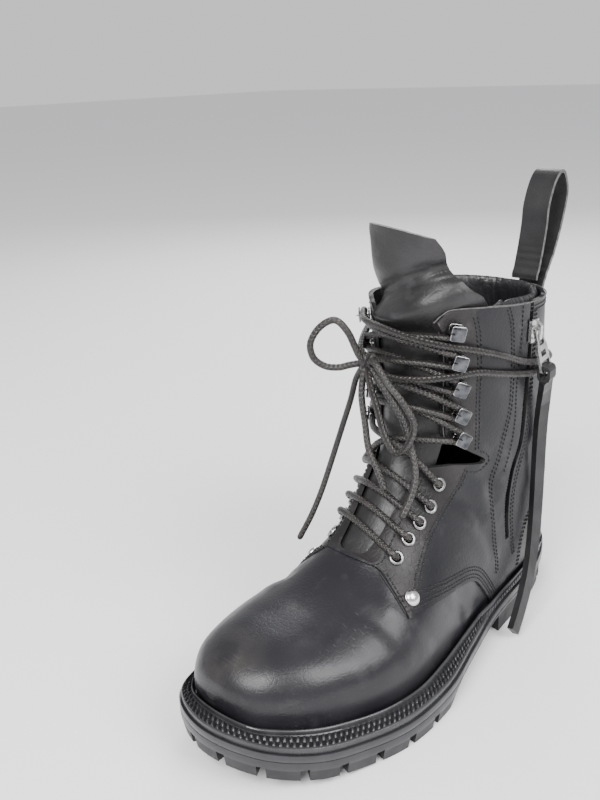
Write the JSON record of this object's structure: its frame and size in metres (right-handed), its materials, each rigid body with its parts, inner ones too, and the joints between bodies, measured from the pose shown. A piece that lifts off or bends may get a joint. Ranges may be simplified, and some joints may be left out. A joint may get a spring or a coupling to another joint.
{
  "type": "combat boot",
  "caption": "Left lace-up ankle-high combat boot with a side zip, eyelets, speed hooks, flared tongue, rear pull loop, storm welt and lugged rubber sole",
  "frame": {"origin": "on the floor, under the middle of the bounding box taken without the free cords", "axes": "toe to -Y, heel to +Y, outer flank with the zip +X, up +Z"},
  "size_m": [0.124, 0.3156, 0.2747],
  "materials": {
    "black_leather": "worn smooth leather with a broad soft sheen",
    "tongue_leather": "soft matt leather, a little browner",
    "padded_lining": "soft wrinkled padded leather",
    "strap_leather": "folded leather strap",
    "black_rubber": "satin rubber",
    "welt_rubber": "glossier moulded rubber",
    "insole_board": "plain leather board",
    "nickel": "bright nickel plate",
    "gunmetal": "dark gunmetal plate",
    "zip_tape_cloth": "woven zip tape",
    "waxed_lace": "round waxed braid"
  },
  "bodies": {
    "boot": {"collar_pad": "padded_lining", "eyelet_inner_1": "nickel", "eyelet_inner_2": "nickel", "eyelet_inner_3": "nickel", "eyelet_inner_4": "nickel", "eyelet_inner_5": "nickel", "eyelet_outer_1": "nickel", "eyelet_outer_2": "nickel", "eyelet_outer_3": "nickel", "eyelet_outer_4": "nickel", "eyelet_outer_5": "nickel", "heel": "black_rubber", "hook_inner_1": "gunmetal", "hook_inner_2": "gunmetal", "hook_inner_3": "gunmetal", "hook_inner_4": "gunmetal", "hook_inner_5": "gunmetal", "hook_outer_1": "gunmetal", "hook_outer_2": "gunmetal", "hook_outer_3": "gunmetal", "hook_outer_4": "gunmetal", "hook_outer_5": "gunmetal", "insole": "insole_board", "lace_bar_1": "waxed_lace", "lace_bar_2": "waxed_lace", "lace_bar_3": "waxed_lace", "lace_bar_4": "waxed_lace", "lace_cross_1": "waxed_lace", "lace_cross_2": "waxed_lace", "lace_cross_3": "waxed_lace", "lace_cross_4": "waxed_lace", "lace_cross_5": "waxed_lace", "lace_end_far": "waxed_lace", "lace_end_middle": "waxed_lace", "lace_end_near": "waxed_lace", "lace_knot": "waxed_lace", "lace_loop_down": "waxed_lace", "lace_loop_out": "waxed_lace", "lace_turn_1": "waxed_lace", "lace_turn_2": "waxed_lace", "midsole": "black_rubber", "outsole": "black_rubber", "pull_loop": "strap_leather", "rivet_inner": "nickel", "rivet_outer": "nickel", "tongue": "tongue_leather", "upper": "black_leather", "welt": "welt_rubber", "zip_slider": "nickel", "zip_strap": "strap_leather", "zip_tape": "zip_tape_cloth"},
    "zip_pull": {"zip_pull": "nickel"}
  },
  "joints": [
    {"name": "zip_pull_swing", "type": "hinge", "parent": "boot", "child": "zip_pull", "pos_m": [0.03996, 0.07581, 0.19288], "axis": [0.062, -0.9927, -0.1035], "range_deg": [0, 3.5]}
  ]
}
